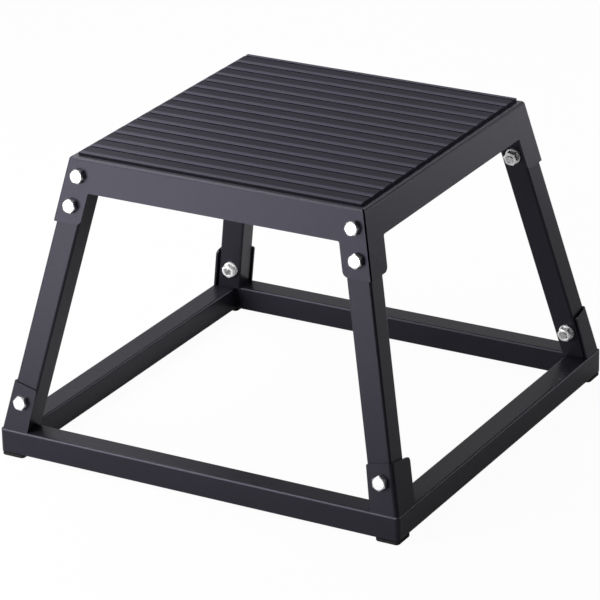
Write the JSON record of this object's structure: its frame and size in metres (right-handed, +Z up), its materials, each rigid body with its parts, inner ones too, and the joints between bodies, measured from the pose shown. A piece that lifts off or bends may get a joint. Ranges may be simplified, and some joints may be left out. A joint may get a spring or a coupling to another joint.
{
  "type": "plyo box",
  "caption": "Low steel-frame plyometric jump box: ribbed rubber mat on a folded deck, splayed square-tube legs bolted to a welded square base frame with rubber pads.",
  "frame": {"origin": "on the floor, under the centre of the base frame", "axes": "+Z up, the front with the bolt heads that the picture shows faces -Y, +X to the right seen from the front"},
  "size_m": [0.4382, 0.4362, 0.305],
  "materials": {
    "mat_rubber": "matte, fine grain",
    "deck_coat": "satin black powder coat, fine texture",
    "frame_coat": "satin black powder coat, fine texture",
    "foot_rubber": "matte",
    "zinc": "bright zinc plate"
  },
  "bodies": {
    "root": {"top_mat": "mat_rubber", "top_deck": "deck_coat", "leg_front_left": "frame_coat", "leg_front_right": "frame_coat", "leg_back_left": "frame_coat", "leg_back_right": "frame_coat", "base_rail_front": "frame_coat", "base_rail_back": "frame_coat", "base_rail_left": "frame_coat", "base_rail_right": "frame_coat", "corner_bracket_front_left": "frame_coat", "corner_bracket_front_right": "frame_coat", "corner_bracket_back_left": "frame_coat", "corner_bracket_back_right": "frame_coat", "foot_front_left": "foot_rubber", "foot_front_right": "foot_rubber", "foot_back_left": "foot_rubber", "foot_back_right": "foot_rubber", "bolts_front_left": "zinc", "bolts_front_right": "zinc", "bolts_back_left": "zinc", "bolts_back_right": "zinc", "washers_front_left": "zinc", "washers_front_right": "zinc", "washers_back_left": "zinc", "washers_back_right": "zinc", "nuts_front_left": "zinc", "nuts_front_right": "zinc", "nuts_back_left": "zinc", "nuts_back_right": "zinc"}
  },
  "joints": []
}
